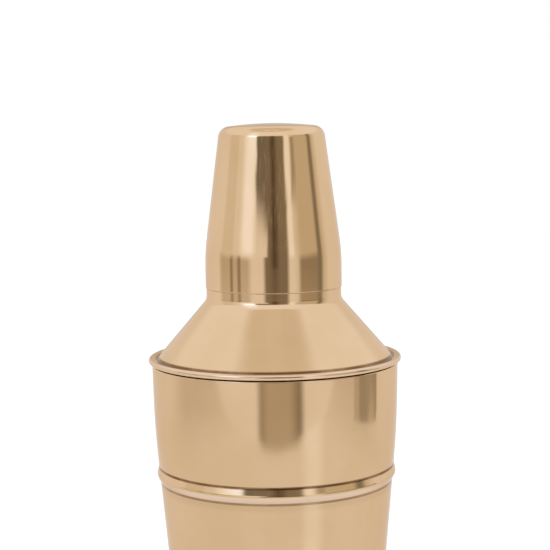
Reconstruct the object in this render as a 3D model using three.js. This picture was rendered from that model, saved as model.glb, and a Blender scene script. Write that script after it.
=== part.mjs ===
// A three-piece cocktail shaker: a drawn tumbler, a strainer top that plugs into its mouth, and a cap
// that slips over the strainer top's neck. A punched strainer plate is soldered under the neck's lip.
// Millimetres, +Z up, origin at the centre of the base, every piece in its closed, standing place.

import * as THREE from "three";

// Sheet metal
const SHEET = 0.7; // tumbler and strainer top
const CAP_SHEET = 0.5;
const PLATE_SHEET = 0.6;

// Tumbler
const TUMBLER_HEIGHT = 150;
const MOUTH_RADIUS = 43.8;
const MOUTH_ZONE = 22.9; // the nearly straight stretch below the mouth
const MOUTH_TAPER = 0.02; // radius lost for each millimetre down
const BODY_TAPER = 0.0895;
const BODY_BEND = 330; // radius of the gentle bend between the two tapers
const BASE_CORNER = 7;
const RECESS_RADIUS = 20; // middle of the step round the raised bottom
const RECESS_DEPTH = 1.5;
const RECESS_STEP = 2; // width of that step
const RECESS_ROUND = 1.5;

// The swaged ring round the tumbler
const RIDGE_Z = 110.8;
const RIDGE_HALF_HEIGHT = 2.65;
const RIDGE_TANGENTS = 1.35; // how far out its two flanks would meet
const RIDGE_CREST = 3.9;
const RIDGE_FOOT = 0.5;

// Strainer top
const SEAT_GAP = 0.4; // between the tumbler's mouth and the bead
const COLLAR_DEPTH = 14;
const COLLAR_CLEARANCE = 0.35;
const COLLAR_TAPER = 0.4; // radius lost at the collar's lower edge
const COLLAR_ROUND = 0.3;
const BEAD_RADIUS = 45;
const BEAD_HEIGHT = 2;
const BEAD_NOSE = 0.99;
const SHOULDER_RADIUS = 41.56; // where the cone runs into the bead
const SHOULDER_ROUND = 0.8;
const SHOULDER_FLARE = 0.864; // radius gained for each millimetre down the cone
const NECK_FILLET = 7;
const NECK_SEAT_RADIUS = 23.95; // just below the cap's edge
const NECK_SEAT_Z = 176.6;
const NECK_STEP = 0.4; // height of the small ledge that the cap's edge comes down to
const NECK_RADIUS = 23.4; // inside the cap
const NECK_TOP_Z = 190.8;
const LIP_ROUND = 1.6;
const LIP_RADIUS = 20.6;

// Strainer plate
const PLATE_RADIUS = 22.1;
const PLATE_GAP = 0.4; // below the lip
const PLATE_CROWN = 1.3;
const HOLE_RADIUS = 1.5;
const HOLE_RINGS = [
  { radius: 0, count: 1 },
  { radius: 5, count: 6 },
  { radius: 10, count: 12 },
  { radius: 15, count: 18 },
];

// Cap
const CAP_RADIUS = 24.24;
const CAP_EDGE_Z = 177.1;
const CAP_SKIRT_TOP_Z = 189.3;
const CAP_SKIRT_BEND = 60;
const CAP_TAPER = 0.1315; // radius lost for each millimetre up
const CAP_TOP_Z = 234.8;
const CAP_CROWN = 1.25; // how far the top rises from its rim to its middle
const CAP_CROWN_BEND = 75;
const CAP_CORNER = 5;

// Fineness of the faceting
const TURNS = 40; // facets round the axis
const ARC_STEP = THREE.MathUtils.degToRad(36); // most that an arc turns in one step
const HOLE_SIDES = 8;

// A line through corners { r, z, fillet }, each rounded by an arc of its fillet radius.
function roundedLine(corners) {
  const at = corners.map(({ r, z }) => new THREE.Vector2(r, z));
  return corners.flatMap(({ fillet = 0 }, i) => {
    if (!fillet) return [at[i]];
    const back = at[i - 1].clone().sub(at[i]).normalize();
    const ahead = at[i + 1].clone().sub(at[i]).normalize();
    const half = Math.acos(THREE.MathUtils.clamp(back.dot(ahead), -1, 1)) / 2;
    const bisector = back.clone().add(ahead).normalize();
    const centre = at[i].clone().addScaledVector(bisector, fillet / Math.sin(half));
    const start = at[i].clone().addScaledVector(back, fillet / Math.tan(half)).sub(centre);
    const turn = (2 * half - Math.PI) * Math.sign(back.cross(ahead));
    const steps = Math.max(2, Math.ceil(Math.abs(turn) / ARC_STEP));
    return Array.from({ length: steps + 1 }, (_, k) =>
      start.clone().rotateAround(new THREE.Vector2(), (turn * k) / steps).add(centre),
    );
  });
}

// The line moved sideways to its left by a distance. An end on the axis stays on the axis.
function offsetLine(line, distance) {
  return line.map((point, i) => {
    const before = line[Math.max(i - 1, 0)];
    const after = line[Math.min(i + 1, line.length - 1)];
    const inward = point.clone().sub(before).normalize();
    const onward = after.clone().sub(point).normalize();
    const along = inward.clone().add(onward).normalize();
    const miter = Math.max(along.dot(inward), along.dot(onward));
    const moved = point.clone().addScaledVector(new THREE.Vector2(-along.y, along.x), distance / miter);
    if (point.x === 0) moved.x = 0;
    return moved;
  });
}

// Half a turn from one side of a sheet's edge to the other, without its two ends.
function roundEdge(from, to) {
  const centre = from.clone().add(to).multiplyScalar(0.5);
  return [0.3, 0.7].map((share) => from.clone().rotateAround(centre, Math.PI * share));
}

// A closed outline of sheet metal: the outer line, the rounded end edges, and the inner line back again.
// The outer line runs anticlockwise round the metal, so the metal lies to its left.
function sheetOutline(outer, thickness) {
  const inner = offsetLine(outer, thickness);
  const [first, last] = [outer[0], outer[outer.length - 1]];
  const [innerFirst, innerLast] = [inner[0], inner[inner.length - 1]];
  const outline = [...outer];
  if (last.x > 0) outline.push(...roundEdge(last, innerLast));
  outline.push(...inner.reverse());
  if (first.x > 0) outline.push(...roundEdge(innerFirst, first), first.clone());
  return outline;
}

// A piece of sheet metal turned about +Z from the corners of its outer line.
function spunSheet(name, corners, thickness, material) {
  const geometry = new THREE.LatheGeometry(sheetOutline(roundedLine(corners), thickness), TURNS);
  geometry.rotateX(Math.PI / 2); // three.js turns about Y, and the part stands along Z
  const mesh = new THREE.Mesh(geometry, material);
  mesh.name = name;
  return mesh;
}

function wallRadius(z) {
  const bend = TUMBLER_HEIGHT - MOUTH_ZONE;
  return MOUTH_RADIUS - MOUTH_TAPER * MOUTH_ZONE - BODY_TAPER * (bend - z);
}

function tumbler(material) {
  const bend = TUMBLER_HEIGHT - MOUTH_ZONE;
  const ridgeLow = RIDGE_Z - RIDGE_HALF_HEIGHT;
  const ridgeHigh = RIDGE_Z + RIDGE_HALF_HEIGHT;
  const corners = [
    { r: 0, z: RECESS_DEPTH },
    { r: RECESS_RADIUS - RECESS_STEP / 2, z: RECESS_DEPTH, fillet: RECESS_ROUND },
    { r: RECESS_RADIUS + RECESS_STEP / 2, z: 0, fillet: RECESS_ROUND },
    { r: wallRadius(0), z: 0, fillet: BASE_CORNER },
    { r: wallRadius(ridgeLow), z: ridgeLow, fillet: RIDGE_FOOT },
    { r: wallRadius(RIDGE_Z) + RIDGE_TANGENTS, z: RIDGE_Z, fillet: RIDGE_CREST },
    { r: wallRadius(ridgeHigh), z: ridgeHigh, fillet: RIDGE_FOOT },
    { r: wallRadius(bend), z: bend, fillet: BODY_BEND },
    { r: MOUTH_RADIUS, z: TUMBLER_HEIGHT },
  ];
  return spunSheet("tumbler", corners, SHEET, material);
}

// One shell: plug collar, bead folded out over the tumbler's mouth, cone, neck and inward lip.
function strainerTop(material) {
  const beadUnder = TUMBLER_HEIGHT + SEAT_GAP;
  const beadTop = beadUnder + BEAD_HEIGHT;
  const collarRadius = MOUTH_RADIUS - SHEET - COLLAR_CLEARANCE;
  const coneTop = beadTop + (SHOULDER_RADIUS - NECK_SEAT_RADIUS) / SHOULDER_FLARE;
  const corners = [
    { r: collarRadius - COLLAR_TAPER, z: TUMBLER_HEIGHT - COLLAR_DEPTH },
    { r: collarRadius, z: beadUnder, fillet: COLLAR_ROUND },
    { r: BEAD_RADIUS, z: beadUnder, fillet: BEAD_NOSE },
    { r: BEAD_RADIUS, z: beadTop, fillet: BEAD_NOSE },
    { r: SHOULDER_RADIUS, z: beadTop, fillet: SHOULDER_ROUND },
    { r: NECK_SEAT_RADIUS, z: coneTop, fillet: NECK_FILLET },
    { r: NECK_SEAT_RADIUS, z: NECK_SEAT_Z },
    { r: NECK_RADIUS, z: NECK_SEAT_Z + NECK_STEP },
    { r: NECK_RADIUS, z: NECK_TOP_Z, fillet: LIP_ROUND },
    { r: LIP_RADIUS, z: NECK_TOP_Z },
  ];
  return spunSheet("strainer_top", corners, SHEET, material);
}

function plateHole(ringRadius, angle) {
  const corners = Array.from({ length: HOLE_SIDES }, (_, side) => {
    const turn = angle + (2 * Math.PI * side) / HOLE_SIDES;
    return new THREE.Vector2(
      ringRadius * Math.cos(angle) + HOLE_RADIUS * Math.cos(turn),
      ringRadius * Math.sin(angle) + HOLE_RADIUS * Math.sin(turn),
    );
  });
  return new THREE.Path(corners).closePath();
}

// A punched disc, dished upwards in the middle.
function strainerPlate(material) {
  const disc = new THREE.Shape().absarc(0, 0, PLATE_RADIUS, 0, 2 * Math.PI);
  for (const { radius, count } of HOLE_RINGS) {
    for (let k = 0; k < count; k += 1) disc.holes.push(plateHole(radius, (2 * Math.PI * k) / count));
  }
  const geometry = new THREE.ExtrudeGeometry(disc, {
    depth: PLATE_SHEET,
    bevelEnabled: false,
    curveSegments: TURNS / 2,
  });
  const position = geometry.getAttribute("position");
  for (let i = 0; i < position.count; i += 1) {
    const outward = Math.hypot(position.getX(i), position.getY(i)) / PLATE_RADIUS;
    position.setZ(i, position.getZ(i) + PLATE_CROWN * (1 - outward ** 2));
  }
  const mesh = new THREE.Mesh(geometry, material);
  mesh.name = "strainer_plate";
  mesh.position.z = NECK_TOP_Z - SHEET - PLATE_GAP - PLATE_SHEET;
  return mesh;
}

function cap(material) {
  const cornerZ = CAP_TOP_Z - CAP_CROWN;
  const cornerRadius = CAP_RADIUS - CAP_TAPER * (cornerZ - CAP_SKIRT_TOP_Z);
  const corners = [
    { r: CAP_RADIUS, z: CAP_EDGE_Z },
    { r: CAP_RADIUS, z: CAP_SKIRT_TOP_Z, fillet: CAP_SKIRT_BEND },
    { r: cornerRadius, z: cornerZ, fillet: CAP_CORNER },
    { r: cornerRadius / 2, z: CAP_TOP_Z, fillet: CAP_CROWN_BEND },
    { r: 0, z: CAP_TOP_Z },
  ];
  return spunSheet("cap", corners, CAP_SHEET, material);
}

const polished = new THREE.MeshStandardMaterial({ color: 0xe7c79e, roughness: 0.1, metalness: 1 });
const satin = new THREE.MeshStandardMaterial({ color: 0xe2c198, roughness: 0.2, metalness: 1 });

const shaker = new THREE.Group();
shaker.add(tumbler(satin), strainerTop(satin), strainerPlate(satin), cap(polished));

export default shaker;
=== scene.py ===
"""A cobbler cocktail shaker in polished brass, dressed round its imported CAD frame.

The CAD shells are faceted. Each one is spun again here as a fine, smooth shell of the same profile, with
softened edges, a faint unevenness left from drawing and polishing, and its own brass. Lengths in metres.
"""

import math
from collections import namedtuple

import bpy
from mathutils import Matrix, Vector, noise


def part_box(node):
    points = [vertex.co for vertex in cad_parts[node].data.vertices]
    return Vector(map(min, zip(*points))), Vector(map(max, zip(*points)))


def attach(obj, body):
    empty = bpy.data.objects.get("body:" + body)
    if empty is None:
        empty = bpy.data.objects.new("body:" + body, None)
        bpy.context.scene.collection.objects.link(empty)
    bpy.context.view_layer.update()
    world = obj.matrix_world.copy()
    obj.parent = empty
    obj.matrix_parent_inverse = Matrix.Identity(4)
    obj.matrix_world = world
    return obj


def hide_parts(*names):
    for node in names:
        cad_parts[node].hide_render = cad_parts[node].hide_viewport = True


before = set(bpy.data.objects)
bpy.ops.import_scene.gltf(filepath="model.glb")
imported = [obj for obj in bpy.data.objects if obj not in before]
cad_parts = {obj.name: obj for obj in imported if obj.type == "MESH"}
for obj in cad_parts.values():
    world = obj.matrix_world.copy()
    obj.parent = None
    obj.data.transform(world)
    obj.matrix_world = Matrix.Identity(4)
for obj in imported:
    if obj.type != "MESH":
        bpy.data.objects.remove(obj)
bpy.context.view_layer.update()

MM = 0.001

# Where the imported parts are. Every profile below hangs on these corners.
TUMBLER_LOW, TUMBLER_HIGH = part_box("tumbler")
TOP_LOW, TOP_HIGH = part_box("strainer_top")
PLATE_LOW, PLATE_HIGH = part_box("strainer_plate")
CAP_LOW, CAP_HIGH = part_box("cap")

# Sheet metal
SHEET = 0.7 * MM
CAP_SHEET = 0.5 * MM
PLATE_SHEET = 0.6 * MM

# Tumbler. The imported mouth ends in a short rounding, which its box takes in. RIDGE_TANGENTS is how far the
# two flanks of the swaged ring would meet outside the wall.
MOUTH_RADIUS = TUMBLER_HIGH.x
MOUTH_ROUNDING = 0.294 * MM
TUMBLER_HEIGHT = TUMBLER_HIGH.z - MOUTH_ROUNDING
MOUTH_ZONE = 22.9 * MM
MOUTH_TAPER = 0.02
BODY_TAPER = 0.0895
BODY_BEND = 330 * MM
BASE_CORNER = 7 * MM
RECESS_RADIUS = 20 * MM
RECESS_DEPTH = 1.5 * MM
RECESS_STEP = 2 * MM
RECESS_ROUND = 1.5 * MM
RIDGE_Z = 110.8 * MM
RIDGE_HALF_HEIGHT = 2.65 * MM
RIDGE_CREST_Z = 110.5 * MM
RIDGE_TANGENTS = 1.02 * MM
RIDGE_CREST = 2.0 * MM
RIDGE_FOOT = 0.4 * MM

# Strainer top. The valley is the shallow groove between the bead and the cone.
COLLAR_TAPER = 0.4 * MM
COLLAR_GAP = 0.35 * MM
COLLAR_RADIUS = MOUTH_RADIUS - SHEET - COLLAR_GAP
COLLAR_ROUND = 0.3 * MM
BEAD_RADIUS = TOP_HIGH.x
BEAD_GAP = 0.4 * MM
BEAD_HEIGHT = 2 * MM
BEAD_UNDER = TUMBLER_HEIGHT + BEAD_GAP
BEAD_TOP = BEAD_UNDER + BEAD_HEIGHT
BEAD_NOSE = 0.99 * MM
BEAD_SLOPE = 0.25
VALLEY_DEPTH = 0.45 * MM
VALLEY_ROUND = 0.5 * MM
SHOULDER_RADIUS = 41.56 * MM
SHOULDER_FLARE = 0.864
NECK_FILLET = 4.2 * MM
NECK_SEAT_RADIUS = 24.0 * MM
NECK_SEAT_GAP = 0.04 * MM
NECK_SEAT_Z = CAP_LOW.z - NECK_SEAT_GAP
NECK_STEP = 0.12 * MM
NECK_RADIUS = 23.4 * MM
NECK_EDGE = 0.1 * MM
LIP_ROUND = 1.6 * MM
LIP_RADIUS = 20.6 * MM

# Strainer plate
PLATE_CROWN = PLATE_HIGH.z - PLATE_LOW.z - PLATE_SHEET
HOLE_RADIUS = 1.5 * MM
HOLE_ROUND = 0.14 * MM
HOLE_PITCH = 5 * MM
HOLE_ARC_STEPS = 4
# The rings of holes round the middle one: (ring, steps along a cell's inner arc, outer arc and side)
HOLE_RINGS = [(1, (8, 12, 6)), (2, (6, 12, 7)), (3, (8, 8, 8))]
MIDDLE_CELL_STEPS = 48
PLATE_RIM_STEPS = 144
PLATE_RIM_BAND = 2.2 * MM
PLATE_EDGE_STEPS = 8

# Cap
CAP_SKIRT = 12.2 * MM
CAP_SKIRT_BEND = 60 * MM
CAP_TAPER = 0.1315
CAP_CROWN = 1.25 * MM
CAP_CROWN_BEND = 120 * MM
CAP_CROWN_SHARE = 0.35
CAP_CORNER = 4.2 * MM

# Fineness of the shells
TURNS = 192
ARC_STEP = math.radians(6)
OUTER_STEP = 1.4 * MM
INNER_STEP = 2.2 * MM
RIM_STEPS = 8
BEND_GUARD = 0.1 * MM

# Unevenness of drawn and polished sheet: its length round the wall and up it, how far the wall leaves its
# true radius, and a seed for each piece. It fades out towards the foot.
WAVE_LENGTH = 16 * MM
WAVE_RISE = 40 * MM
FINE_WAVE_SHARE = 0.35
FINE_WAVE_RATIO = 2.3
FOOT_FADE = 10 * MM
ON_AXIS = 1e-9
TUMBLER_WAVE = 0.03 * MM
TUMBLER_SEED = 3.0
TOP_WAVE = 0.012 * MM
TOP_SEED = 11.0
CAP_WAVE = 0.02 * MM
CAP_SEED = 27.0

# Painted shade in the joint under the bead: the faces in the gap take a dark tone in place of the shadow
# there
JOINT_SHADE_BELOW = 1.2 * MM
JOINT_SHADE_ABOVE = 0.08 * MM
JOINT_SHADE_INSET = 0.3 * MM


# ---------------------------------------------------------------- profiles


def rounded_line(corners):
    """A line of (r, z) points through corners (r, z, fillet), each rounded by an arc of its fillet.

    A straight stretch gets a point close to each of its ends, which keeps the shading of the bend beside it
    from spreading along it.
    """
    points = [Vector(c[:2]) for c in corners]
    line = []
    for i in range(len(corners)):
        arc = corner_arc(points, corners, i)
        if line:
            stretch = arc[0] - line[-1]
            if stretch.length > 4 * BEND_GUARD:
                step = stretch.normalized() * BEND_GUARD
                line += [line[-1] + step, arc[0] - step]
        line += arc
    return line


def corner_arc(points, corners, i):
    """The points of one corner: itself, or the arc that rounds it."""
    fillet = corners[i][2] if len(corners[i]) > 2 else 0
    if not fillet:
        return [points[i]]
    back = (points[i - 1] - points[i]).normalized()
    ahead = (points[i + 1] - points[i]).normalized()
    half = math.acos(max(-1, min(1, back.dot(ahead)))) / 2
    centre = points[i] + (back + ahead).normalized() * fillet / math.sin(half)
    spoke = points[i] + back * fillet / math.tan(half) - centre
    turn = math.copysign(math.pi - 2 * half, -back.cross(ahead))
    steps = max(2, math.ceil(abs(turn) / ARC_STEP), math.ceil(abs(turn) * fillet / OUTER_STEP))
    return [centre + Matrix.Rotation(turn * k / steps, 2) @ spoke for k in range(steps + 1)]


def offset_line(line, distance):
    """The line moved to its left. A point on the axis stays on the axis."""
    moved = []
    for i, point in enumerate(line):
        before = line[max(i - 1, 0)]
        after = line[min(i + 1, len(line) - 1)]
        inward = (point - before).normalized()
        onward = (after - point).normalized()
        along = (inward + onward).normalized()
        miter = max(along.dot(inward), along.dot(onward))
        p = point + Vector((-along.y, along.x)) * distance / miter
        if point.x == 0:
            p.x = 0
        moved.append(p)
    return moved


def densified(line, step):
    """The same line with points no further apart than step."""
    out = [line[0]]
    for a, b in zip(line, line[1:]):
        pieces = max(1, math.ceil((b - a).length / step))
        out += [a.lerp(b, k / pieces) for k in range(1, pieces + 1)]
    return out


def round_edge(start, end):
    """Half a turn from one side of the sheet to the other, without its two ends."""
    centre = (start + end) / 2
    spoke = start - centre
    return [
        centre + Matrix.Rotation(math.pi * k / RIM_STEPS, 2) @ spoke
        for k in range(1, RIM_STEPS)
    ]


def sheet_outline(corners, thickness):
    """(outline, index where the inner side begins, whether it closes on itself)."""
    outer = rounded_line(corners)
    inner = offset_line(outer, thickness)[::-1]
    outer = densified(outer, OUTER_STEP)
    inner = densified(inner, INNER_STEP)
    outline = list(outer)
    if outer[-1].x > 0:
        outline += round_edge(outer[-1], inner[0])
    inner_from = len(outline)
    outline += inner
    closed = outer[0].x > 0
    if closed:
        outline += round_edge(inner[-1], outer[0])
    return outline, inner_from, closed


# ---------------------------------------------------------------- meshes


def unevenness(angle, z, seed):
    """How far the sheet stands in or out here, as a share of its wave. It meets itself all the way round."""
    around = MOUTH_RADIUS / WAVE_LENGTH
    at = Vector((math.cos(angle) * around, math.sin(angle) * around, z / WAVE_RISE + seed))
    return noise.noise(at) + FINE_WAVE_SHARE * noise.noise(at * FINE_WAVE_RATIO)


def add_piece(name, vertices, faces, materials, face_materials):
    mesh = bpy.data.meshes.new(name)
    mesh.from_pydata(vertices, [], faces)
    for material in materials:
        mesh.materials.append(material)
    mesh.polygons.foreach_set("material_index", face_materials)
    mesh.polygons.foreach_set("use_smooth", [True] * len(mesh.polygons))
    mesh.validate()
    mesh.update()
    piece = bpy.data.objects.new(name, mesh)
    bpy.context.scene.collection.objects.link(piece)
    return piece


def spun_sheet(name, corners, thickness, wave, seed, outside, inside, seam=None):
    """A shell turned about the axis, with the outside's and the inside's own material.

    seam is (material, lowest z, highest z, largest r) of the part of the outside that lies in a joint.
    """
    outline, inner_from, closed = sheet_outline(corners, thickness)
    vertices = []
    rows = []
    for point in outline:
        if point.x <= ON_AXIS:
            rows.append([len(vertices)] * TURNS)
            vertices.append((0, 0, point.y))
            continue
        rows.append(list(range(len(vertices), len(vertices) + TURNS)))
        fade = min(1, point.y / FOOT_FADE)
        for k in range(TURNS):
            angle = 2 * math.pi * k / TURNS
            r = point.x + wave * fade * unevenness(angle, point.y, seed)
            vertices.append((r * math.cos(angle), r * math.sin(angle), point.y))
    faces = []
    face_materials = []
    last = len(rows) if closed else len(rows) - 1
    for i in range(last):
        below = rows[i]
        above = rows[(i + 1) % len(rows)]
        middle = (outline[i] + outline[(i + 1) % len(rows)]) / 2
        kind = 1 if i >= inner_from - RIM_STEPS // 2 else 0
        if kind == 0 and seam and seam[1] < middle.y < seam[2] and middle.x < seam[3]:
            kind = 2
        for k in range(TURNS):
            n = (k + 1) % TURNS
            corner_ids = [below[k], below[n], above[n], above[k]]
            face = list(dict.fromkeys(corner_ids))
            if len(face) < 3:
                continue
            faces.append(face)
            face_materials.append(kind)
    materials = [outside, inside] + ([seam[0]] if seam else [])
    return add_piece(name, vertices, faces, materials, face_materials)


def wall_radius(z):
    bend = TUMBLER_HEIGHT - MOUTH_ZONE
    return MOUTH_RADIUS - MOUTH_TAPER * MOUTH_ZONE - BODY_TAPER * (bend - z)


def make_tumbler(outside, inside):
    bend = TUMBLER_HEIGHT - MOUTH_ZONE
    ridge_low = RIDGE_Z - RIDGE_HALF_HEIGHT
    ridge_high = RIDGE_Z + RIDGE_HALF_HEIGHT
    corners = [
        (0, RECESS_DEPTH),
        (RECESS_RADIUS - RECESS_STEP / 2, RECESS_DEPTH, RECESS_ROUND),
        (RECESS_RADIUS + RECESS_STEP / 2, 0, RECESS_ROUND),
        (wall_radius(0), 0, BASE_CORNER),
        (wall_radius(ridge_low), ridge_low, RIDGE_FOOT),
        (wall_radius(RIDGE_CREST_Z) + RIDGE_TANGENTS, RIDGE_CREST_Z, RIDGE_CREST),
        (wall_radius(ridge_high), ridge_high, RIDGE_FOOT),
        (wall_radius(bend), bend, BODY_BEND),
        (MOUTH_RADIUS, TUMBLER_HEIGHT - SHEET / 2),
    ]
    return spun_sheet("tumbler_shell", corners, SHEET, TUMBLER_WAVE, TUMBLER_SEED, outside, inside)


def make_strainer_top(outside, inside, joint_shade):
    cone_top = BEAD_TOP + (SHOULDER_RADIUS - NECK_SEAT_RADIUS) / SHOULDER_FLARE
    valley_z = BEAD_TOP - VALLEY_DEPTH
    valley_radius = SHOULDER_RADIUS + SHOULDER_FLARE * VALLEY_DEPTH
    bead_corner = valley_z + BEAD_SLOPE * (BEAD_RADIUS - valley_radius)
    corners = [
        (COLLAR_RADIUS - COLLAR_TAPER, TOP_LOW.z + SHEET / 2),
        (COLLAR_RADIUS, BEAD_UNDER, COLLAR_ROUND),
        (BEAD_RADIUS, BEAD_UNDER, BEAD_NOSE),
        (BEAD_RADIUS, bead_corner, BEAD_NOSE),
        (valley_radius, valley_z, VALLEY_ROUND),
        (NECK_SEAT_RADIUS, cone_top, NECK_FILLET),
        (NECK_SEAT_RADIUS, NECK_SEAT_Z),
        (NECK_RADIUS, NECK_SEAT_Z + NECK_STEP, NECK_EDGE),
        (NECK_RADIUS, TOP_HIGH.z, LIP_ROUND),
        (LIP_RADIUS, TOP_HIGH.z),
    ]
    # The faces in the joint under the bead take the painted shade
    joint = (joint_shade, BEAD_UNDER - JOINT_SHADE_BELOW, BEAD_UNDER + JOINT_SHADE_ABOVE, BEAD_RADIUS - JOINT_SHADE_INSET)
    return spun_sheet("strainer_top_shell", corners, SHEET, TOP_WAVE, TOP_SEED, outside, inside, joint)


def make_cap(outside, inside):
    corner_z = CAP_HIGH.z - CAP_CROWN
    skirt_top = CAP_LOW.z + CAP_SKIRT
    corner_radius = CAP_HIGH.x - CAP_TAPER * (corner_z - skirt_top)
    corners = [
        (CAP_HIGH.x, CAP_LOW.z + CAP_SHEET / 2),
        (CAP_HIGH.x, skirt_top, CAP_SKIRT_BEND),
        (corner_radius, corner_z, CAP_CORNER),
        (corner_radius * CAP_CROWN_SHARE, CAP_HIGH.z, CAP_CROWN_BEND),
        (0, CAP_HIGH.z),
    ]
    return spun_sheet("cap_shell", corners, CAP_SHEET, CAP_WAVE, CAP_SEED, outside, inside)


def hole_section():
    """The metal from a cell's border to its hole and back underneath.

    Each step is (share of the way to the hole, depth below the top face, how much wider than the hole).
    """
    section = [(share, 0, HOLE_ROUND) for share in (0, 0.4, 0.75)]
    for k in range(HOLE_ARC_STEPS + 1):
        turn = math.pi / 2 * k / HOLE_ARC_STEPS
        section.append((1, HOLE_ROUND * (1 - math.cos(turn)), HOLE_ROUND * (1 - math.sin(turn))))
    under = [(share, PLATE_SHEET - depth, wider) for share, depth, wider in reversed(section)]
    return section + under


def dish(x, y):
    """Height of the plate's top face here."""
    outward = math.hypot(x, y) / PLATE_HIGH.x
    return PLATE_LOW.z + PLATE_SHEET + PLATE_CROWN * (1 - outward**2)


def polar(r, angle):
    return Vector((r * math.cos(angle), r * math.sin(angle)))


def cell_border(inner, outer, start, end, counts):
    """The points round one ring sector: outer arc, one side in, inner arc back, other side out."""
    inner_count, outer_count, side_count = counts
    border = [polar(outer, start + (end - start) * k / outer_count) for k in range(outer_count)]
    border += [polar(outer + (inner - outer) * k / side_count, end) for k in range(side_count)]
    if inner_count:
        border += [polar(inner, end + (start - end) * k / inner_count) for k in range(inner_count)]
    border += [polar(inner + (outer - inner) * k / side_count, start) for k in range(side_count)]
    return border


def make_plate(material):
    """A dished disc of ring sectors, each with one punched, softly rounded hole, and a plain rim."""
    vertices = []
    faces = []

    def strip(rows, around):
        """Joins rows of vertex numbers into faces."""
        for a, b in zip(rows, rows[1:]):
            for k in range(around):
                n = (k + 1) % around
                faces.append((a[k], a[n], b[n], b[k]))

    def row(points, depth):
        first = len(vertices)
        vertices.extend((p.x, p.y, dish(p.x, p.y) - depth) for p in points)
        return list(range(first, len(vertices)))

    def cell(border, centre):
        """A cell's top face, hole and underside."""
        start = math.atan2(border[0].y - centre.y, border[0].x - centre.x)
        count = len(border)
        circle = [polar(1, start + 2 * math.pi * k / count) for k in range(count)]
        rows = []
        for share, depth, wider in hole_section():
            rim = [centre + c * (HOLE_RADIUS + wider) for c in circle]
            rows.append(row([b.lerp(r, share) for b, r in zip(border, rim)], depth))
        strip(rows, count)

    half = HOLE_PITCH / 2
    middle = [polar(half, 2 * math.pi * k / MIDDLE_CELL_STEPS) for k in range(MIDDLE_CELL_STEPS)]
    cell(middle, Vector((0, 0)))
    for ring, counts in HOLE_RINGS:
        centre_radius = HOLE_PITCH * ring
        holes = 6 * ring
        width = 2 * math.pi / holes
        for k in range(holes):
            angle = width * k
            border = cell_border(centre_radius - half, centre_radius + half,
                                 angle - width / 2, angle + width / 2, counts)
            cell(border, polar(centre_radius, angle))
    outer_ring = HOLE_RINGS[-1][0]
    offset = -math.pi / (6 * outer_ring)
    edge = PLATE_SHEET / 2
    plain = [HOLE_PITCH * outer_ring + half, PLATE_HIGH.x - PLATE_RIM_BAND, PLATE_HIGH.x - edge]
    profile = [(r, 0) for r in plain]
    for k in range(1, PLATE_EDGE_STEPS):
        turn = math.pi * k / PLATE_EDGE_STEPS
        profile.append((PLATE_HIGH.x - edge + edge * math.sin(turn), edge * (1 - math.cos(turn))))
    profile += [(r, PLATE_SHEET) for r in reversed(plain)]
    angles = [offset + 2 * math.pi * k / PLATE_RIM_STEPS for k in range(PLATE_RIM_STEPS)]
    rows = [row([polar(r, angle) for angle in angles], depth) for r, depth in profile]
    strip([r[::-1] for r in rows], PLATE_RIM_STEPS)
    return add_piece("strainer_plate_disc", vertices, faces, [material], [0] * len(faces))


# ---------------------------------------------------------------- materials


BRASS = (0.80, 0.572, 0.358)
# The dark tone of the painted shade in the joint under the bead
JOINT_SHADE_TONE = (0.16, 0.1, 0.055)
EDGE_TINT = (0.92, 0.84, 0.78)
# What the dull patches keep of the metal's red, green and blue: on the outside, inside and on the painted
# shade in the joint
TARNISH = (0.95, 0.93, 0.88)
LINING_TARNISH = (0.9, 0.87, 0.8)
JOINT_SHADE_TARNISH = (0.6, 0.6, 0.6)

# Painted shade in the creases at the ridge's feet and in the bead's groove, with the tarnish that the
# polishing cloth misses there: dark rings (lowest r, highest r, z, half height, strength)
CREASE_SHADE_TONE = (0.2, 0.1, 0.04)
# Share of a crease's half height that is fully dark
CREASE_SHADE_CORE = 0.4
ANY_RADIUS = (0, 1)
RIDGE_CREASE_SHADES = (
    (*ANY_RADIUS, RIDGE_Z + RIDGE_HALF_HEIGHT + 0.05 * MM, 0.65 * MM, 1.0),
    (*ANY_RADIUS, RIDGE_Z - RIDGE_HALF_HEIGHT - 0.3 * MM, 0.65 * MM, 0.65),
    (*ANY_RADIUS, RIDGE_Z - RIDGE_HALF_HEIGHT - 0.6 * MM, 3.0 * MM, 0.1),
)
BEAD_CREASE_SHADES = ((40 * MM, 42.6 * MM, BEAD_TOP - VALLEY_DEPTH + 0.2 * MM, 0.95 * MM, 1.0),)

# Painted reflection of the pale table: paler, pinker rings on the ridge's lower flank and on the bead's
# nose: (lowest r, lowest z, highest z)
TABLE_SHEEN_TONE = (0.8, 0.585, 0.415)
SHEEN_EDGE = 0.25 * MM
RIDGE_SHEEN = ((0, RIDGE_Z - RIDGE_HALF_HEIGHT + 0.3 * MM, RIDGE_CREST_Z - 0.2 * MM),)
BEAD_SHEEN = ((42.9 * MM, BEAD_UNDER, BEAD_TOP),)

# Scales of the patterns in the metal, and how much each of two of them roughens it
LATHE_STRETCH = 30.0
LATHE_LEAN = 0.6
CLOUD_SCALE = 38.0
SMEAR_SCALE = 90.0
LINE_TONE = 0.18
SMEAR_WEAR = 0.9
LINE_WEAR = 0.8


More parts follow.
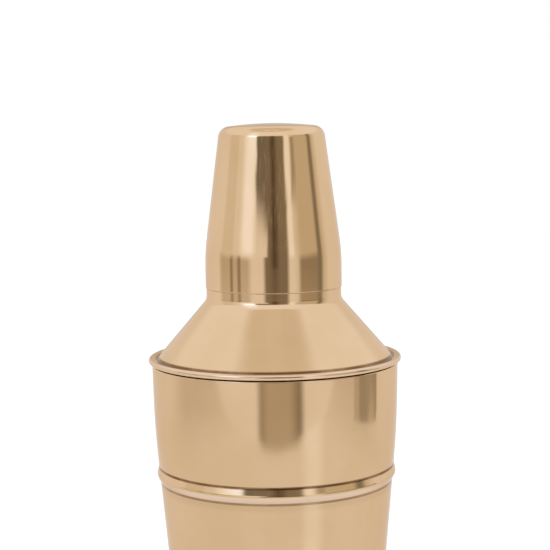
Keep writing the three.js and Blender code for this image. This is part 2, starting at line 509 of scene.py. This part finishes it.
class Nodes:
    """A shorthand for building a node tree."""

    def __init__(self, tree):
        self.tree = tree
        tree.nodes.clear()

    def add(self, kind, inputs=None, **settings):
        node = self.tree.nodes.new("ShaderNode" + kind)
        for key, value in settings.items():
            setattr(node, key, value)
        for key, value in (inputs or {}).items():
            self.put(node.inputs[key], value)
        return node

    def put(self, socket, value):
        if isinstance(value, bpy.types.NodeSocket):
            self.tree.links.new(value, socket)
        else:
            socket.default_value = value

    def math(self, operation, a, b=0.0, c=0.0):
        return self.add("Math", {0: a, 1: b, 2: c}, operation=operation).outputs[0]

    def ramp(self, value, low, high, to_low=0.0, to_high=1.0):
        node = self.add("MapRange", {0: value, 1: low, 2: high, 3: to_low, 4: to_high},
                        interpolation_type="SMOOTHSTEP")
        return node.outputs[0]

    def radius(self, x, y):
        square = self.math("ADD", self.math("MULTIPLY", x, x), self.math("MULTIPLY", y, y))
        return self.math("SQRT", square)

    def azimuth(self, x, y):
        """Degrees round the axis: 0 towards the camera, growing anticlockwise seen from above."""
        turn = self.math("ARCTAN2", x, self.math("MULTIPLY", y, -1.0))
        return self.math("MULTIPLY", turn, math.degrees(1))

    def mix(self, share, a, b):
        node = self.add("Mix", data_type="RGBA")
        self.put(node.inputs[0], share)
        self.put(node.inputs[6], a)
        self.put(node.inputs[7], b)
        return node.outputs[2]

    def noise(self, vector, scale, detail=2.0, roughness=0.5):
        node = self.add("TexNoise", {"Vector": vector, "Scale": scale, "Detail": detail,
                                     "Roughness": roughness})
        return node.outputs["Fac"]


def lathe_lines(n, place, line_pitch):
    """Fine lines that run round the axis, up the walls and across the ends."""
    x, y, z = n.add("SeparateXYZ", {0: place}).outputs
    along = n.math("ADD", z, n.math("MULTIPLY", n.radius(x, y), LATHE_LEAN))
    lathe = n.add("CombineXYZ", {
        0: n.math("MULTIPLY", x, LATHE_STRETCH),
        1: n.math("MULTIPLY", y, LATHE_STRETCH),
        2: n.math("DIVIDE", along, line_pitch),
    })
    return n.noise(lathe.outputs[0], 1.0, 3.0, 0.6)


def sheen_share(n, radius, z, smears, ring):
    """How much of a proud ring's painted reflection shows here."""
    low_r, low_z, high_z = ring
    above = n.ramp(z, low_z - SHEEN_EDGE, low_z + SHEEN_EDGE)
    below = n.ramp(z, high_z + SHEEN_EDGE, high_z - SHEEN_EDGE)
    outward = n.ramp(radius, low_r - SHEEN_EDGE, low_r + SHEEN_EDGE)
    share = n.math("MULTIPLY", n.math("MULTIPLY", above, below), outward)
    return n.math("MULTIPLY", share, n.ramp(smears, 0.2, 0.6, 0.6, 1.0))


def crease_shade_share(n, radius, z, smears, ring):
    """How much of a crease's painted shade shows here."""
    low_r, high_r, at_z, half, strength = ring
    off = n.math("ABSOLUTE", n.math("SUBTRACT", z, at_z))
    beyond = n.math("GREATER_THAN", radius, low_r)
    within = n.math("LESS_THAN", radius, high_r)
    share = n.ramp(off, half, half * CREASE_SHADE_CORE, 0.0, strength)
    share = n.math("MULTIPLY", share, n.math("MULTIPLY", beyond, within))
    return n.math("MULTIPLY", share, n.ramp(smears, 0.3, 0.6, 0.75, 1.0))


def brass(name, colour, rough, rough_spread, line_depth, line_pitch, tarnish, crease_shades=(), sheens=()):
    """Brass polished on the lathe, with fine lines, cloudy patches, and its own rings of painted shade in
    creases and of painted reflection.
    """
    material = bpy.data.materials.new(name)
    material.use_nodes = True
    n = Nodes(material.node_tree)
    place = n.add("TexCoord").outputs["Object"]
    x, y, z = n.add("SeparateXYZ", {0: place}).outputs
    radius = n.radius(x, y)
    lines = lathe_lines(n, place, line_pitch)
    clouds = n.noise(place, CLOUD_SCALE, 3.0, 0.55)
    smears = n.noise(place, SMEAR_SCALE, 4.0, 0.6)
    dull = tuple(c * f for c, f in zip(colour, tarnish))
    metal = n.mix(n.ramp(clouds, 0.32, 0.7), (*dull, 1), (*colour, 1))
    metal = n.mix(n.ramp(lines, 0.3, 0.75, 0.0, LINE_TONE), metal, (*dull, 1))
    # Paler rings of painted reflection of the table
    for ring in sheens:
        metal = n.mix(sheen_share(n, radius, z, smears, ring), metal, (*TABLE_SHEEN_TONE, 1))
    # Dark rings of painted shade in the creases
    for ring in crease_shades:
        metal = n.mix(crease_shade_share(n, radius, z, smears, ring), metal, (*CREASE_SHADE_TONE, 1))
    smear_wear = n.math("MULTIPLY", n.math("SUBTRACT", smears, 0.5), SMEAR_WEAR)
    line_wear = n.math("MULTIPLY", n.math("SUBTRACT", lines, 0.5), LINE_WEAR)
    wear = n.math("ADD", smear_wear, line_wear)
    roughness = n.add("Math", {0: wear, 1: rough_spread, 2: rough},
                      operation="MULTIPLY_ADD", use_clamp=True)
    bump = n.add("Bump", {"Strength": 1.0, "Distance": line_depth, "Height": lines})
    shader = n.add("BsdfPrincipled", {
        "Base Color": metal,
        "Metallic": 1.0,
        "Roughness": roughness.outputs[0],
        "Normal": bump.outputs[0],
        "Specular Tint": (*EDGE_TINT, 1),
    })
    n.add("OutputMaterial", {"Surface": shader.outputs[0]})
    return material


# ---------------------------------------------------------------- studio

# What stands round the shaker, by direction in degrees: azimuth 0 is where the camera stands and grows
# anticlockwise seen from above, and elevation is up from level. A panel stands in front of those above it.
Panel = namedtuple("Panel", "what middle half_width side_soft lowest highest end_soft level warmth")
ALL_ROUND = 200
PANELS = [
    Panel("upper walls", 0, ALL_ROUND, 1, 25, 65, 5, 1.0, 0),
    Panel("ceiling", 0, ALL_ROUND, 1, 65, 100, 4, 0.75, 0),
    Panel("ceiling lamp on the left", -45, 20, 15, 78, 100, 4, 1.1, 0),
    Panel("ceiling lamp on the right", 40, 15, 8, 78, 100, 4, 1.1, 0),
    Panel("cabinet on the left", -70, 30, 6, -8, 2, 3, 0.55, 0.5),
    Panel("first upright of the cabinet", -75, 3, 2, -8, 2, 2, 0.3, 0.5),
    Panel("second upright of the cabinet", -60, 3, 2, -8, 2, 2, 0.3, 0.5),
    Panel("left wall", -85, 12, 3, 2, 25, 3, 0.77, 0),
    Panel("window", -45, 12, 8, 4, 50, 4, 1.25, 0),
    Panel("lamp in the window", -40, 12, 8, 14, 26, 2, 1.9, 0),
    Panel("bookcase on the right", 70, 28, 10, -8, 25, 3, 0.6, 0),
    Panel("lower doors of the bookcase", 65, 20, 4, -8, 2, 3, 0.3, 0.5),
    Panel("edge of the bookcase", 85, 5, 4, -8, 25, 2, 0.25, 0),
    Panel("doorway", 5, 20, 4, -90, 22, 4, 0.22, 0.3),
    Panel("wall left of the doorway", -18, 8, 3, 3, 11, 1, 0.9, 0),
    Panel("valance", -20, 12, 3, 11, 22, 1, 0.2, 0),
    Panel("photographer", 2, 5, 6, -6, 22, 4, 0.08, 0.8),
    Panel("doorstep", 3, 15, 7, -90, -9, 2, 0.48, 0.3),
    Panel("narrow window", 31, 4, 3, 3, 30, 3, 1.1, 0),
    Panel("picture frame", 42, 5, 3, 11, 14, 1, 0.4, 0),
]
ROOM_LEVEL = 0.88
BACKDROP_LEVEL = 0.62
BACKDROP_FROM = 160
BACKDROP_FULL = 172

# How far, in degrees, the panels' edges wander, and the elevations over which that sets in
AZIMUTH_DRIFT = 8
DRIFT_FROM = 9.8
DRIFT_FULL = 10.8

# Small paler things in the doorway: their size in degrees, brightness, and where they fade out
CLUTTER_WIDTH = 4.5
CLUTTER_HEIGHT = 0.35
CLUTTER_LEVEL = 0.22
CLUTTER_SIDE = (29, 21)
CLUTTER_RISE = (4, 11)

# What the camera sees behind the shaker, and what lights matt surfaces
CAMERA_WHITE = 1.0
FILL = 1.3

# The table in metres, its tone to the eye, and its brightness in polished metal. The pool is the light round
# the shaker's foot, and the window's glow lies on the table at an azimuth in degrees.
TABLE_FRONT = -0.45
TABLE_BACK = 2.5
TABLE_SIDE = 0.85
FLOOR_TONE = 0.85
TABLE_LEVEL = 0.84
GLOW_AZIMUTH = 33
GLOW_WIDTH = (14, 2)
GLOW_LEVEL = 1.0
FAR_SIDE = (0.3, 0.75)
FAR_BACK = (0.3, -0.05)
FAR_LEVEL = 0.5
FAR_SHARE = 0.55
FRONT_FADE = -0.385
FRONT_LEFT = (-17, -9)
FRONT_RIGHT = (27, 17)
FRONT_LEVEL = 0.48
POOL_RADIUS = (0.24, 0.1)
POOL_LEVEL = 1.08

# The flag in metres, and the brightness of its folds
FLAG_X = 0.566
FLAG_NEAR = -0.15
FLAG_FAR = 0.15
FLAG_TOP = 0.1
FOLD_SCALE = 9.0
FOLD_DARK = 0.36
FOLD_PALE = 0.52


def studio_colour(level, warmth=0.0):
    """Shadowed parts of the room are warmer, and its lamps cooler. warmth is that of the deepest shadows."""
    shade = max(0, min(1, (0.9 - level) / 0.3))
    deep = max(0, min(1, (0.55 - level) / 0.4)) * warmth
    glare = max(0, level - 0.9)
    red = level * (1 + 0.1 * shade + 0.3 * deep - 0.25 * glare)
    blue = level * (1 - 0.17 * shade - 0.2 * deep + 0.45 * glare)
    return red, level, blue, 1


def grey(level):
    return level, level, level, 1


def panel_share(n, azimuth, elevation, panel):
    """1 in the directions that the panel fills, 0 elsewhere."""
    aside = n.math("ABSOLUTE", n.math("SUBTRACT", azimuth, panel.middle))
    across = n.ramp(aside, panel.half_width + panel.side_soft, panel.half_width - panel.side_soft)
    over = n.ramp(elevation, panel.lowest - panel.end_soft, panel.lowest + panel.end_soft)
    under = n.ramp(elevation, panel.highest + panel.end_soft, panel.highest - panel.end_soft)
    return n.math("MULTIPLY", across, n.math("MULTIPLY", over, under))


def add_clutter(n, room, azimuth, elevation, wall_place):
    """The room with small paler things in its doorway."""
    clutter = n.ramp(n.noise(wall_place, 1.0, 4.0, 0.65), 0.5, 0.75, 0.0, CLUTTER_LEVEL)
    opposite = n.ramp(n.math("ABSOLUTE", azimuth), *CLUTTER_SIDE)
    raised = n.ramp(elevation, *CLUTTER_RISE)
    clutter = n.math("MULTIPLY", clutter, n.math("MULTIPLY", opposite, raised))
    pale = n.add("CombineXYZ", {0: clutter, 1: clutter, 2: clutter}).outputs[0]
    return n.add("VectorMath", {0: room, 1: pale}, operation="ADD").outputs[0]


def make_world():
    """White to the camera, even to matt surfaces, and a room of panels to polished ones."""
    world = bpy.data.worlds.new("studio")
    bpy.context.scene.world = world
    world.use_nodes = True
    world.cycles.sampling_method = "NONE"
    n = Nodes(world.node_tree)
    direction = n.add("TexCoord").outputs["Generated"]
    x, y, z = n.add("SeparateXYZ", {0: direction}).outputs
    azimuth = n.azimuth(x, y)
    elevation = n.math("MULTIPLY", n.math("ARCSINE", z), math.degrees(1))
    wall_place = n.add("CombineXYZ", {
        0: n.math("DIVIDE", azimuth, CLUTTER_WIDTH),
        1: n.math("DIVIDE", elevation, CLUTTER_HEIGHT),
    }).outputs[0]
    drift = n.math("SUBTRACT", n.noise(wall_place, 0.4, 2.0), 0.5)
    reach = n.ramp(elevation, DRIFT_FROM, DRIFT_FULL, 0.0, AZIMUTH_DRIFT)
    azimuth = n.math("ADD", azimuth, n.math("MULTIPLY", drift, reach))
    behind = n.ramp(n.math("ABSOLUTE", azimuth), BACKDROP_FROM, BACKDROP_FULL)
    room = n.mix(behind, studio_colour(ROOM_LEVEL), studio_colour(BACKDROP_LEVEL))
    for panel in PANELS:
        share = panel_share(n, azimuth, elevation, panel)
        room = n.mix(share, room, studio_colour(panel.level, panel.warmth))
    room = add_clutter(n, room, azimuth, elevation, wall_place)
    ray = n.add("LightPath").outputs
    seen = n.mix(ray["Is Diffuse Ray"], room, grey(FILL))
    seen = n.mix(ray["Is Camera Ray"], seen, grey(CAMERA_WHITE))
    background = n.add("Background", {0: seen, 1: 1.0})
    n.add("OutputWorld", {0: background.outputs[0]})


def add_sheet(name, corners, material):
    """One flat face."""
    mesh = bpy.data.meshes.new(name)
    mesh.from_pydata(corners, [], [(0, 1, 2, 3)])
    mesh.materials.append(material)
    sheet = bpy.data.objects.new(name, mesh)
    bpy.context.scene.collection.objects.link(sheet)
    return sheet


def table_white():
    """Evenly pale to the eye. Polished metal shows its pools of light and its dim far side and front."""
    material = bpy.data.materials.new("table_white")
    material.use_nodes = True
    n = Nodes(material.node_tree)
    x, y, _ = n.add("SeparateXYZ", {0: n.add("TexCoord").outputs["Object"]}).outputs
    azimuth = n.azimuth(x, y)
    glow = n.ramp(n.math("ABSOLUTE", n.math("SUBTRACT", azimuth, GLOW_AZIMUTH)), *GLOW_WIDTH)
    far = n.math("MULTIPLY", n.ramp(n.math("ABSOLUTE", x), *FAR_SIDE), n.ramp(y, *FAR_BACK))
    in_line = n.math("MULTIPLY", n.ramp(azimuth, *FRONT_LEFT), n.ramp(azimuth, *FRONT_RIGHT))
    front = n.math("MULTIPLY", n.ramp(y, FRONT_FADE, TABLE_FRONT), in_line)
    pool = n.ramp(n.radius(x, y), *POOL_RADIUS)
    lit = n.mix(glow, studio_colour(TABLE_LEVEL), studio_colour(GLOW_LEVEL))
    lit = n.mix(n.math("MULTIPLY", far, FAR_SHARE), lit, studio_colour(FAR_LEVEL))
    lit = n.mix(front, lit, studio_colour(FRONT_LEVEL))
    lit = n.mix(pool, lit, studio_colour(POOL_LEVEL))
    dimmed = n.add("VectorMath", {0: lit, 1: grey(1 / FILL)[:3]}, operation="MULTIPLY").outputs[0]
    ray = n.add("LightPath").outputs
    colour = n.mix(ray["Is Glossy Ray"], grey(FLOOR_TONE), dimmed)
    shader = n.add("BsdfDiffuse", {"Color": colour})
    n.add("OutputMaterial", {0: shader.outputs[0]})
    return material


def make_floor():
    """A pale table, whose front edge lies between the shaker and the camera."""
    corners = [
        (-TABLE_SIDE, TABLE_FRONT, 0),
        (TABLE_SIDE, TABLE_FRONT, 0),
        (TABLE_SIDE, TABLE_BACK, 0),
        (-TABLE_SIDE, TABLE_BACK, 0),
    ]
    floor = add_sheet("table", corners, table_white())


def flag_cloth():
    material = bpy.data.materials.new("flag_cloth")
    material.use_nodes = True
    n = Nodes(material.node_tree)
    folds = n.noise(n.add("TexCoord").outputs["Object"], FOLD_SCALE, 1.0)
    cloth = n.mix(n.ramp(folds, 0.4, 0.6), studio_colour(FOLD_DARK), studio_colour(FOLD_PALE))
    glow = n.add("Emission", {"Color": cloth})
    n.add("OutputMaterial", {0: glow.outputs[0]})
    return material


def make_flag():
    """A dark panel that stands on the table to the right. Only polished metal shows it."""
    corners = [
        (FLAG_X, FLAG_NEAR, 0),
        (FLAG_X, FLAG_FAR, 0),
        (FLAG_X, FLAG_FAR, FLAG_TOP),
        (FLAG_X, FLAG_NEAR, FLAG_TOP),
    ]
    flag = add_sheet("flag", corners, flag_cloth())
    flag.visible_camera = False
    flag.visible_diffuse = False
    flag.visible_shadow = False


# ---------------------------------------------------------------- camera

CAMERA_DISTANCE = 560 * MM
CAMERA_HEIGHT = 238.85 * MM
CAMERA_DOWN = math.radians(5.9)
CAMERA_ROLL = math.radians(-0.86)
CAMERA_YAW = math.radians(-0.051)
CAMERA_LENS = 103.55


def make_camera():
    data = bpy.data.cameras.new("camera")
    data.lens = CAMERA_LENS
    data.sensor_width = 36
    data.clip_start = 0.01
    data.clip_end = 20
    camera = bpy.data.objects.new("camera", data)
    bpy.context.scene.collection.objects.link(camera)
    turn = (
        Matrix.Rotation(CAMERA_YAW, 4, "Z")
        @ Matrix.Rotation(math.pi / 2 - CAMERA_DOWN, 4, "X")
        @ Matrix.Rotation(CAMERA_ROLL, 4, "Z")
    )
    camera.matrix_world = Matrix.Translation((0, -CAMERA_DISTANCE, CAMERA_HEIGHT)) @ turn
    bpy.context.scene.camera = camera


# ---------------------------------------------------------------- the shaker

# A finish is (roughness, how far that varies, depth of the lathe lines, their pitch).
SATIN = (0.085, 0.05, 0.001 * MM, 0.5 * MM)
TOP_SATIN = (0.08, 0.05, 0.001 * MM, 0.5 * MM)
PLATE_FINISH = (0.22, 0.1, 0.003 * MM, 0.6 * MM)
MIRROR = (0.035, 0.03, 0.0004 * MM, 0.5 * MM)
LINING = (0.28, 0.12, 0.004 * MM, 0.8 * MM)
# The finish of the painted shade in the joint under the bead
JOINT_SHADE_FINISH = (0.45, 0.1, 0.004 * MM, 0.4 * MM)

# The outsides carry painted shade in their creases and rings of painted reflection
body_outside = brass("tumbler_polished", BRASS, *SATIN, TARNISH, RIDGE_CREASE_SHADES, RIDGE_SHEEN)
body_inside = brass("tumbler_lining", BRASS, *LINING, LINING_TARNISH)
top_outside = brass("top_polished", BRASS, *TOP_SATIN, TARNISH, BEAD_CREASE_SHADES, BEAD_SHEEN)
top_inside = brass("top_lining", BRASS, *LINING, LINING_TARNISH)
plate_satin = brass("plate_satin", BRASS, *PLATE_FINISH, TARNISH)
cap_outside = brass("cap_mirror", BRASS, *MIRROR, TARNISH)
cap_inside = brass("cap_lining", BRASS, *LINING, LINING_TARNISH)
# Painted shade in the joint under the bead: a dark brass in place of its shadow
joint_painted_shade = brass("joint_painted_shade", JOINT_SHADE_TONE, *JOINT_SHADE_FINISH, JOINT_SHADE_TARNISH)

tumbler = make_tumbler(body_outside, body_inside)
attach(tumbler, "tumbler")
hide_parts("tumbler")

strainer_top = make_strainer_top(top_outside, top_inside, joint_painted_shade)
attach(strainer_top, "strainer_top")
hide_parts("strainer_top")

plate = make_plate(plate_satin)
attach(plate, "strainer_top")
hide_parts("strainer_plate")

cap = make_cap(cap_outside, cap_inside)
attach(cap, "cap")
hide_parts("cap")

make_world()
make_floor()
make_flag()
make_camera()
bpy.context.scene.view_settings.view_transform = "Standard"
